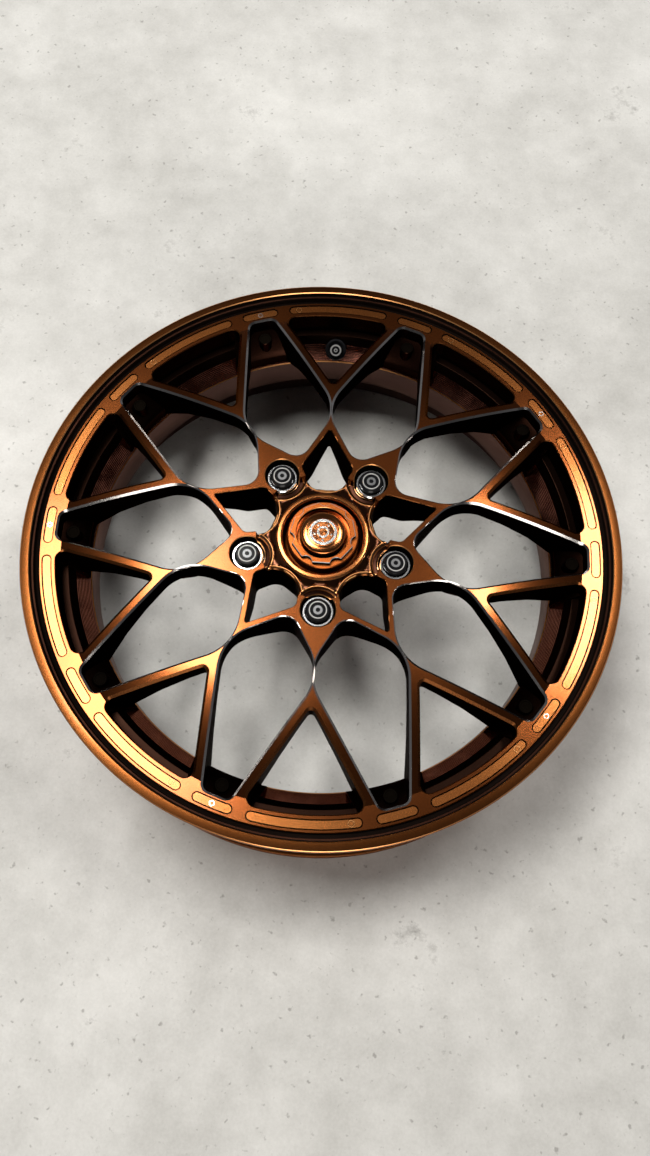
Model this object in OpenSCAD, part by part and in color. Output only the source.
// Forged racing wheel, 18 x 5.0 in, five-lug, lying face up.
// Frame: origin on the wheel axis at the hub mounting face, +Z out of the front face.
// The lug axes lie at -Y and every 72 degrees from it; the valve lies on +Y.

/* [Rim] */
// Outer radius of both flanges
flange_r = 248; // [235:0.5:262]
// Radius of the tyre bead seats
seat_r = 231; // [218:0.5:245]
// Front lip plane above the hub mounting face
front_z = 39; // [25:0.5:60]
// Width over both flanges
overall_w = 152; // [140:1:200]
// Width between the flange walls
bead_w = 127; // [115:1:175]
// Inner radius of the drop well
well_in_r = 200; // [190:0.5:208]
// Outer radius of the drop well
well_out_r = 206.5; // [196:0.5:215]

/* [Face ring] */
// Height of the flat face ring
ring_z = 32; // [25:0.5:45]
// Outer radius of the face ring
ring_out_r = 234; // [228:0.5:240]
// Inner radius of the face ring at the windows
ring_in_r = 220.6; // [214:0.2:226]
// Radius where the sloped spokes meet the flat ring
kink_r = 216.4; // [210:0.2:220]
// Outer radius of the deep spigot behind the ring
spigot_r = 223.4; // [222:0.1:226]
// Centre radius of the milled ring pockets
pocket_r = 227.7; // [225:0.1:230]
// Width of the milled ring pockets
pocket_w = 8; // [5:0.2:9]
// Depth of the milled ring pockets
pocket_d = 1; // [0.4:0.1:1.5]
// Half angle of a short pocket, centre to end centre
short_half = 3.1; // [2:0.1:5]
// Half angle of a long pocket, centre to end centre
long_half = 10.2; // [8:0.1:12]

/* [Hub] */
// Height of the flat lug pads
pad_z = 48; // [40:0.5:60]
// Pitch circle of the five lugs
lug_pcd = 127; // [100:0.5:140]
// Radius of the lug pockets
lug_pocket_r = 14.3; // [13:0.1:16]
// Floor height of the lug pockets
lug_floor_z = 18; // [12:0.5:26]
// Radius of the lug through holes
lug_hole_r = 7.6; // [6.5:0.1:8.5]
// Radius of the centre bore that registers on the hub
bore_r = 35.75; // [28:0.05:42]
// Height of the centre bore
bore_h = 20; // [12:0.5:22]
// Radius of the front opening that takes the cap
cap_bore_r = 32.5; // [28:0.1:35]
// Outer radius of the raised collar
collar_r = 38; // [35:0.2:42]
// Top of the raised collar
collar_z = 44.8; // [40:0.2:52]
// Height of the dished hub plate at the collar
dish_z = 42.5; // [38:0.2:47]

/* [Lug bolts] */
// Radius of the bolt thread
shank_r = 7; // [6:0.1:7.2]
// Radius of the plain shank above the thread
neck_r = 6.6; // [5.5:0.1:6.8]
// Length of shank below the mounting face
shank_out = 26; // [20:1:40]
// Radius of the bolt head
head_r = 9.9; // [9:0.1:10.5]
// Top of the bolt head
head_z = 46; // [40:0.5:52]
// Top of the seat sleeve
sleeve_z = 41; // [34:0.5:46]

/* [Centre cap] */
// Radius of the cap disc
cap_r = 29; // [26:0.2:31]
// Radius of the well around the dome
cap_well_r = 22; // [18:0.2:24]
// Radius of the dome
dome_r = 19; // [15:0.2:21]
// Top of the dome
dome_z = 55; // [50:0.5:60]
// Number of scallops around the lobed ring
lobe_count = 7; // [5:1:12]

/* [Rim joint] */
// Number of joint bolts, one behind each petal opening
joint_count = 10; // [10:1:10]
// Radius of the joint bolt circle
joint_r = 212; // [210:0.2:214]
// Radius of the joint bolt shank
joint_bolt_r = 4; // [3:0.1:5]

/* [Valve] */
// Distance of the valve foot from the wheel axis
valve_foot_r = 208; // [204:0.2:212]
// Height of the valve foot
valve_foot_z = -1.8; // [-6:0.2:4]
// Tilt of the valve from the wheel axis
valve_tilt = 36.87; // [20:0.5:60]
// Radius of the valve hole
valve_hole_r = 5.65; // [4:0.05:6]
// Radius of the clamp collar
valve_collar_r = 9.8; // [8:0.1:11]

/* [Hidden] */
$fn = 96;
rear_z = front_z - overall_w;
front_wall_z = front_z - (overall_w - bead_w) / 2;
rear_wall_z = front_wall_z - bead_w;
lug_r = lug_pcd / 2;
petal_step = 36;
lug_step = 72;
lug_axis = -90;
petal_off = 18;
ring_t = 3;
ledge_z = 10;
ledge_in_r = 215;
slope_end_z = -11;
seat_z = -9;
foot_z = 2;
boss_z = 18;
thread_top_z = -3;
fit = 0.3;
spot_z = -15.5;
face_sag = pad_z - ring_z;
face_flat_r = 100;
sleeve_bore_r = head_r + 0.4;
sleeve_out_r = 12.9;
cap_floor_z = 44;
cap_top_z = 48.5;
lobe_top_z = 51;
skirt_r = cap_bore_r - fit;
skirt_bottom_z = 21;

// ---- plan outlines -------------------------------------------------------

function unit(v) = v / norm(v);

// points of a round of radius r at corner b between a and c
function round_corner(a, b, c, r, n) =
  let (
    u1 = unit(a - b),
    u2 = unit(c - b),
    half = acos(u1 * u2) / 2,
    cen = b + unit(u1 + u2) * (r / sin(half)),
    p1 = b + u1 * (r / tan(half)) - cen,
    p2 = b + u2 * (r / tan(half)) - cen,
    a1 = atan2(p1[1], p1[0]),
    raw = atan2(p2[1], p2[0]) - a1,
    sweep = raw > 180 ? raw - 360 : (raw < -180 ? raw + 360 : raw)
  )
  [for (i = [0:n]) cen + r * [cos(a1 + sweep * i / n), sin(a1 + sweep * i / n)]];

// corners are [x, y, radius, steps]; a radius of 0 keeps the sharp corner
function rounded(cs) =
  let (m = len(cs), p = function (i) [cs[i % m][0], cs[i % m][1]])
  [for (i = [0:m - 1])
    each (cs[i][2] == 0
      ? [p(i)]
      : round_corner(p(i + m - 1), p(i), p(i + 1), cs[i][2], cs[i][3]))];

// petal between a lug spoke (-y side) and a window spoke (+y side)
module petal_2d() {
  polygon(rounded([
    [70.6, -1.2, 12.3, 5],
    [107.4, -41.6, 38, 7],
    [221, -11.3, 6.5, 4],
    [221, 11.3, 6.5, 4],
    [109.5, 41, 37, 7]
  ]));
}

// window inside each V of spokes
module vee_2d() {
  reach = 240;
  slope = 0.645;
  apex = 140.4;
  intersection() {
    polygon(rounded([
      [apex, 0, 4, 5],
      [reach, -(reach - apex) * slope, 0, 0],
      [reach, (reach - apex) * slope, 0, 0]
    ]));
    polygon(rounded([
      [100, -48, 0, 0],
      [206, -48, 9, 4],
      [ring_in_r * cos(11.5), -ring_in_r * sin(11.5) - 2.2, 7, 4],
      [ring_in_r / cos(3.5) * cos(7), -ring_in_r / cos(3.5) * sin(7), 60, 2],
      [ring_in_r / cos(3.5), 0, 200, 3],
      [ring_in_r / cos(3.5) * cos(7), ring_in_r / cos(3.5) * sin(7), 60, 2],
      [ring_in_r * cos(11.5), ring_in_r * sin(11.5) + 2.2, 7, 4],
      [206, 48, 9, 4],
      [100, 48, 0, 0]
    ]));
  }
}

// small window between two lugs
module hub_window_2d() {
  polygon(rounded([
    [97.5, 0, 1.6, 3],
    [60.5, 21.9, 6, 4],
    [43.2, 12.6, 14, 6],
    [43.2, -12.6, 14, 6],
    [60.5, -21.9, 6, 4]
  ]));
}

module openings_2d() {
  for (k = [0:4]) {
    rotate(lug_axis + lug_step * k) {
      rotate(petal_off) petal_2d();
      mirror([0, 1]) rotate(petal_off) petal_2d();
      vee_2d();
      rotate(petal_step) vee_2d();
      rotate(petal_step) hub_window_2d();
    }
  }
}

// slot bent around the wheel axis
function arc_slot(r, w, half, n) =
  let (e = 6)
  concat(
    [for (i = [0:n]) (r + w / 2) * [cos(-half + 2 * half * i / n), sin(-half + 2 * half * i / n)]],
    [for (i = [1:e - 1]) r * [cos(half), sin(half)]
      + w / 2 * [cos(half + 180 * i / e), sin(half + 180 * i / e)]],
    [for (i = [0:n]) (r - w / 2) * [cos(half - 2 * half * i / n), sin(half - 2 * half * i / n)]],
    [for (i = [1:e - 1]) r * [cos(-half), sin(-half)]
      + w / 2 * [cos(180 - half + 180 * i / e), sin(180 - half + 180 * i / e)]]
  );

// ---- forged centre -------------------------------------------------------

function face_z(r) =
  r < face_flat_r ? pad_z
  : pad_z - face_sag * pow((r - face_flat_r) / (kink_r - face_flat_r), 2);

module centre_section() {
  polygon(concat(
    [[30, 0], [76, 0], [84, 8], [95, 16], [115, 24], [135, 25], [155, 21], [177, 11],
     [201, -8], [213.9, ledge_z], [spigot_r, ledge_z],
     [spigot_r, ring_z - ring_t], [ring_out_r, ring_z - ring_t],
     [ring_out_r, ring_z - 0.7], [ring_out_r - 0.7, ring_z]],
    [for (r = [kink_r, 204, 190, 172, 154, 136, 118, face_flat_r]) [r, face_z(r)]],
    [[54.5, pad_z], [50.5, dish_z - 1.2], [collar_r, dish_z], [collar_r, collar_z - 0.6],
     [collar_r - 0.6, collar_z], [30, collar_z]]
  ));
}

module pad_2d(grow) {
  polygon([
    [195, -33 - grow], [221 + grow, -26.6 - grow],
    [221 + grow, 26.6 + grow], [195, 33 + grow]
  ]);
}

// foot on the rim behind each petal opening, with its bolt boss
module foot() {
  intersection() {
    translate([0, 0, seat_z])
    linear_extrude(height = 40)
    pad_2d(0);
    rotate_extrude($fn = 180)
    polygon([
      [well_in_r + 1, seat_z], [222, seat_z], [222, foot_z + 14.7],
      [221, foot_z + 14], [well_in_r + 1, foot_z]
    ]);
  }
  translate([joint_r, 0, seat_z + 1]) cylinder(r = 6, h = boss_z - seat_z - 1, $fn = 48);
}

module forged_centre() {
  color([0.55, 0.31, 0.12])
  difference() {
    union() {
      intersection() {
        rotate_extrude($fn = 180) centre_section();
        translate([0, 0, -20])
        linear_extrude(height = 90)
        difference() {
          circle(r = ring_out_r + 1, $fn = 180);
          openings_2d();
        }
      }
      for (k = [0:9]) {
        rotate(petal_step * k) foot();
      }
      for (k = [0:4]) {
        rotate(lug_axis + lug_step * k)
        translate([lug_r, 0, dish_z - 4])
        cylinder(r = 16, h = pad_z - dish_z + 3.6, $fn = 72);
      }
    }
    for (k = [0:4]) {
      rotate(lug_axis + lug_step * k) {
        translate([lug_r, 0, -1]) cylinder(r = lug_hole_r, h = 40);
        translate([lug_r, 0, lug_floor_z]) cylinder(r = lug_pocket_r, h = 40);
        translate([0, 0, -20])
        linear_extrude(height = 90)
        rotate(petal_step) hub_window_2d();
      }
    }
    translate([0, 0, -1]) cylinder(r = bore_r, h = bore_h + 1, $fn = 120);
    translate([0, 0, 1]) cylinder(r = cap_bore_r, h = 80, $fn = 120);
    for (k = [0:9]) {
      rotate(petal_step * k)
      translate([joint_r, 0, seat_z - 1])
      cylinder(r = joint_bolt_r + 0.05, h = boss_z - seat_z - 3, $fn = 48);
      rotate(petal_step * k)
      translate([0, 0, ring_z - pocket_d])
      linear_extrude(height = 5)
      polygon(arc_slot(pocket_r, pocket_w, short_half, 4));
      rotate(petal_step * (k + 0.5))
      translate([0, 0, ring_z - pocket_d])
      linear_extrude(height = 5)
      polygon(arc_slot(pocket_r, pocket_w, long_half, 9));
    }
  }
}

// ---- forged rim ----------------------------------------------------------

module rim_section() {
  polygon([
    [ledge_in_r, ledge_z], [spigot_r + fit, ledge_z],
    [spigot_r + fit, ring_z - ring_t], [ring_out_r + fit, ring_z - ring_t],
    [ring_out_r + fit, ring_z - 1.5], [237.6, ring_z - 1.5], [237.6, 34], [239.6, 34.6],
    [239.6, front_z - 0.8], [240.4, front_z], [flange_r - 1.6, front_z],
    [flange_r - 0.4, front_z - 0.8], [flange_r, front_z - 2.2],
    [flange_r, front_wall_z + 3], [flange_r - 1, front_wall_z + 0.8],
    [flange_r - 3, front_wall_z], [237.5, front_wall_z], [234, front_wall_z - 1.2],
    [232, front_wall_z - 3.6], [seat_r + 0.5, front_wall_z - 6.5],
    [seat_r - 1, -2], [seat_r - 0.2, -6], [228.5, -9.6], [227, -12.6],
    [well_out_r + 1.5, -22.6], [well_out_r, -24.6], [well_out_r, -39.4],
    [well_out_r + 0.8, -41], [227.4, -61.4], [229.2, -62.6], [seat_r - 0.2, -66],
    [seat_r - 1, -70], [seat_r + 0.5, rear_wall_z + 6.5], [232, rear_wall_z + 3.6],
    [234, rear_wall_z + 1.2], [237.5, rear_wall_z], [flange_r - 3, rear_wall_z],
    [flange_r - 1, rear_wall_z - 0.8], [flange_r, rear_wall_z - 3],
    [flange_r, rear_z + 2.2], [flange_r - 0.6, rear_z + 0.7], [flange_r - 2, rear_z],
    [240, rear_z], [237, rear_z + 1.5], [228, rear_z + 10], [224.5, rear_z + 17],
    [223.3, -68], [222.4, -64.6], [well_in_r + 0.8, -43], [well_in_r, -41],
    [well_in_r, slope_end_z - 1], [well_in_r + 0.6, slope_end_z]
  ]);
}

// places a child with +Z along the valve, foot at the origin
module at_valve() {
  rotate([0, 0, 90])
  translate([valve_foot_r, 0, valve_foot_z])
  rotate([0, -valve_tilt, 0])
  children();
}

module forged_rim() {
  color([0.5, 0.27, 0.1])
  difference() {
    rotate_extrude($fn = 180) rim_section();
    for (k = [0:9]) {
      rotate(petal_step * k) {
        translate([0, 0, seat_z])
        linear_extrude(height = ledge_z - seat_z + 1)
        pad_2d(fit);
        translate([joint_r, 0, -40]) cylinder(r = joint_bolt_r + 0.3, h = 60, $fn = 48);
        translate([joint_r, 0, spot_z - 20]) cylinder(r = 7.3, h = 20, $fn = 48);
      }
    }
    at_valve() {
      translate([0, 0, -40]) cylinder(r = valve_hole_r, h = 60, $fn = 48);
      translate([0, 0, -1]) cylinder(r = 10.4, h = 20, $fn = 48);
      translate([0, 0, -38]) cylinder(r = 9.6, h = 20, $fn = 48);
    }
  }
}

// ---- rim joint hardware --------------------------------------------------

module joint_bolts() {
  head_h = 8;
  color([0.2, 0.2, 0.21])
  for (k = [0:9]) {
    rotate(petal_step * k)
    translate([joint_r, 0, spot_z - 1])
    difference() {
      union() {
        cylinder(r = joint_bolt_r, h = 28, $fn = 48);
        translate([0, 0, -head_h]) cylinder(r = 6.4, h = head_h, $fn = 48);
      }
      translate([0, 0, -head_h - 1]) cylinder(r = 3.4, h = 5, $fn = 6);
    }
  }
}

module joint_seals() {
  color([0.1, 0.1, 0.1])
  for (k = [0:9]) {
    rotate(petal_step * k)
    translate([joint_r, 0, spot_z - 1])
    difference() {
      cylinder(r = 7, h = 1, $fn = 48);
      translate([0, 0, -1]) cylinder(r = joint_bolt_r + 0.15, h = 4, $fn = 48);
    }
  }
}

// ---- lugs ----------------------------------------------------------------

module at_lug(i) {
  rotate(lug_axis + lug_step * (i - 1))
  translate([lug_r, 0, 0])
  children();
}

module lug_seats() {
  seat_top = lug_floor_z + 4;
  color([0.75, 0.76, 0.78])
  for (i = [1:5]) {
    at_lug(i)
    rotate_extrude($fn = 72)
    polygon([
      [lug_hole_r, lug_floor_z], [lug_pocket_r - fit, lug_floor_z],
      [lug_pocket_r - fit, seat_top], [sleeve_out_r, seat_top],
      [sleeve_out_r, sleeve_z - 0.8], [sleeve_out_r - 0.8, sleeve_z],
      [sleeve_bore_r + 0.5, sleeve_z], [sleeve_bore_r, sleeve_z - 0.5],
      [sleeve_bore_r, seat_top + 4.7], [lug_hole_r, seat_top]
    ]);
  }
}

module lug_bolt(i) {
  color([0.06, 0.06, 0.065])
  at_lug(i)
  rotate_extrude($fn = 72)
  polygon([
    [0, -shank_out], [shank_r - 1.2, -shank_out], [shank_r, -shank_out + 1.2],
    [shank_r, thread_top_z], [neck_r, thread_top_z + 0.4],
    [neck_r, lug_floor_z + 2.9], [head_r, lug_floor_z + 8.9],
    [head_r, head_z - 1.2], [head_r - 1.2, head_z], [7.6, head_z],
    [7.6, head_z - 0.8], [0, head_z - 0.8]
  ]);
}

module lug_disc(i) {
  disc_h = 1.4;
  color([0.7, 0.71, 0.72])
  at_lug(i)
  translate([0, 0, head_z - 0.8])
  difference() {
    cylinder(r = 7.3, h = disc_h, $fn = 72);
    for (k = [0:5]) {
      rotate(60 * k)
      translate([2.6, -0.6, disc_h - 0.6])
      cube([3.2, 1.2, 2]);
    }
  }
}

module lug_bolt_1() {
  lug_bolt(1);
}

module lug_bolt_2() {
  lug_bolt(2);
}

module lug_bolt_3() {
  lug_bolt(3);
}

module lug_bolt_4() {
  lug_bolt(4);
}

module lug_bolt_5() {
  lug_bolt(5);
}

module lug_disc_1() {
  lug_disc(1);
}

module lug_disc_2() {
  lug_disc(2);
}

module lug_disc_3() {
  lug_disc(3);
}

module lug_disc_4() {
  lug_disc(4);
}

module lug_disc_5() {
  lug_disc(5);
}

// ---- centre cap ----------------------------------------------------------

module cap_body() {
  color([0.5, 0.28, 0.11])
  rotate_extrude($fn = 120)
  polygon([
    [27, skirt_bottom_z], [skirt_r - 1, skirt_bottom_z], [skirt_r, skirt_bottom_z + 1],
    [skirt_r, 22.9], [30.4, 22.9], [30.4, 25.1], [skirt_r, 25.1],
    [skirt_r, 29.8], [29.9, 29.8], [29.9, 32.4], [skirt_r, 32.4],
    [skirt_r, 36], [cap_r + 0.6, 37], [cap_r, 38], [cap_r, cap_top_z - 0.8],
    [cap_r - 0.8, cap_top_z], [cap_well_r, cap_top_z], [cap_well_r, cap_floor_z],
    [0, cap_floor_z], [0, 40], [27, 38]
  ]);
}

module cap_lobed_ring() {
  out_r = 26.9;
  color([0.55, 0.31, 0.12])
  translate([0, 0, cap_top_z])
  difference() {
    cylinder(r = out_r, h = lobe_top_z - cap_top_z, $fn = 120);
    translate([0, 0, -1]) cylinder(r = cap_well_r, h = 10, $fn = 120);
    for (k = [0:lobe_count - 1]) {
      rotate(360 / lobe_count * (k + 0.5) + lug_axis)
      translate([out_r + 2.2, 0, -1])
      cylinder(r = 5.4, h = 10, $fn = 48);
      rotate(360 / lobe_count * k + lug_axis)
      translate([25.9, -20, -1])
      cube([10, 40, 10]);
    }
  }
}

module cap_dome() {
  color([0.6, 0.36, 0.15])
  rotate_extrude($fn = 120)
  polygon([
    [0, cap_floor_z], [dome_r, cap_floor_z], [dome_r, 49.4], [dome_r - 0.4, 51],
    [dome_r - 1.4, 52.6], [dome_r - 3, 53.8], [dome_r - 5, 54.5], [dome_r - 7.2, dome_z - 0.2],
    [11.4, dome_z - 0.2], [11.4, dome_z - 0.8], [0, dome_z - 0.8]
  ]);
}

module cap_badge() {
  color([0.8, 0.8, 0.82])
  translate([0, 0, dome_z - 0.8])
  difference() {
    cylinder(r = 11.2, h = 0.8, $fn = 120);
    translate([0, 0, 0.4])
    difference() {
      cylinder(r = 8.8, h = 2, $fn = 96);
      translate([0, 0, -1]) cylinder(r = 4.4, h = 4, $fn = 72);
    }
    for (k = [0:4]) {
      rotate(lug_axis + lug_step * k)
      translate([6.6, 0, -1])
      cylinder(r = 0.9, h = 4, $fn = 32);
    }
  }
}

module cap_spring_ring() {
  color([0.6, 0.6, 0.62])
  translate([0, 0, 24])
  difference() {
    rotate_extrude($fn = 96)
    translate([31.4, 0]) circle(r = 0.9, $fn = 24);
    rotate(90)
    translate([25, -2, -3])
    cube([12, 4, 6]);
  }
}

module cap_o_ring() {
  color([0.08, 0.08, 0.08])
  translate([0, 0, 31.1])
  rotate_extrude($fn = 96)
  translate([31.1, 0]) circle(r = 1.15, $fn = 24);
}

// ---- valve ---------------------------------------------------------------

module valve_stem() {
  color([0.62, 0.62, 0.64])
  at_valve()
  rotate_extrude($fn = 48)
  polygon([
    [2.65, -24.6], [7.6, -24.6], [8.4, -23.8], [8.4, -21.4], [5.4, -21.4],
    [5.4, 7.6], [4, 8.6], [4, 14.2], [3.6, 14.6], [2.65, 14.6]
  ]);
}

module valve_seal() {
  color([0.07, 0.07, 0.07])
  at_valve()
  translate([0, 0, -21.4])
  difference() {
    cylinder(r = 8.8, h = 3.4, $fn = 48);
    translate([0, 0, -1]) cylinder(r = 5.45, h = 6, $fn = 48);
  }
}

module valve_washer() {
  color([0.7, 0.7, 0.72])
  at_valve()
  translate([0, 0, -1])
  difference() {
    cylinder(r = 9.6, h = 1.2, $fn = 48);
    translate([0, 0, -1]) cylinder(r = 5.5, h = 4, $fn = 48);
  }
}

module valve_collar() {
  color([0.03, 0.03, 0.03])
  at_valve()
  rotate_extrude($fn = 60)
  polygon([
    [5.45, 0.2], [valve_collar_r - 0.6, 0.2], [valve_collar_r, 0.8],
    [valve_collar_r, 8.4], [valve_collar_r - 0.5, 9.4], [valve_collar_r - 1.6, 10.2],
    [8.2, 10.4], [6.6, 9.4], [6.6, 7.2], [5.45, 7.2]
  ]);
}

module valve_core() {
  color([0.75, 0.6, 0.25])
  at_valve()
  translate([0, 0, -4])
  difference() {
    cylinder(r = 2.6, h = 16, $fn = 36);
    translate([0, 0, -1]) cylinder(r = 1.35, h = 20, $fn = 36);
  }
}

module valve_core_pin() {
  color([0.72, 0.72, 0.74])
  at_valve()
  rotate_extrude($fn = 32)
  polygon([
    [0, -5.4], [2.2, -5.4], [2.2, -4.6], [1, -4.3], [1, 13.4], [0.7, 13.8], [0, 13.8]
  ]);
}

module valve_cap() {
  color([0.03, 0.03, 0.03])
  at_valve()
  rotate_extrude($fn = 60)
  polygon([
    [4.3, 9], [5.6, 9], [6, 9.6], [6, 16.2], [5.7, 17], [5.3, 17.3],
    [5.2, 17.3], [5.2, 16.8], [0, 16.8], [0, 15.9], [4.3, 15.9]
  ]);
}

module valve_cap_seal() {
  color([0.1, 0.1, 0.1])
  at_valve()
  translate([0, 0, 14.9])
  difference() {
    cylinder(r = 4.2, h = 1, $fn = 40);
    translate([0, 0, -1]) cylinder(r = 2.4, h = 3, $fn = 40);
  }
}

module valve_cap_badge() {
  color([0.8, 0.8, 0.82])
  at_valve()
  translate([0, 0, 16.8])
  difference() {
    cylinder(r = 5.1, h = 0.7, $fn = 60);
    translate([0, 0, 0.4])
    difference() {
      cylinder(r = 4.1, h = 2, $fn = 48);
      translate([0, 0, -1]) cylinder(r = 2.2, h = 4, $fn = 48);
    }
  }
}

forged_centre();
forged_rim();
joint_bolts();
joint_seals();
lug_seats();
lug_bolt_1();
lug_bolt_2();
lug_bolt_3();
lug_bolt_4();
lug_bolt_5();
lug_disc_1();
lug_disc_2();
lug_disc_3();
lug_disc_4();
lug_disc_5();
cap_body();
cap_lobed_ring();
cap_dome();
cap_badge();
cap_spring_ring();
cap_o_ring();
valve_stem();
valve_seal();
valve_washer();
valve_collar();
valve_core();
valve_core_pin();
valve_cap();
valve_cap_seal();
valve_cap_badge();
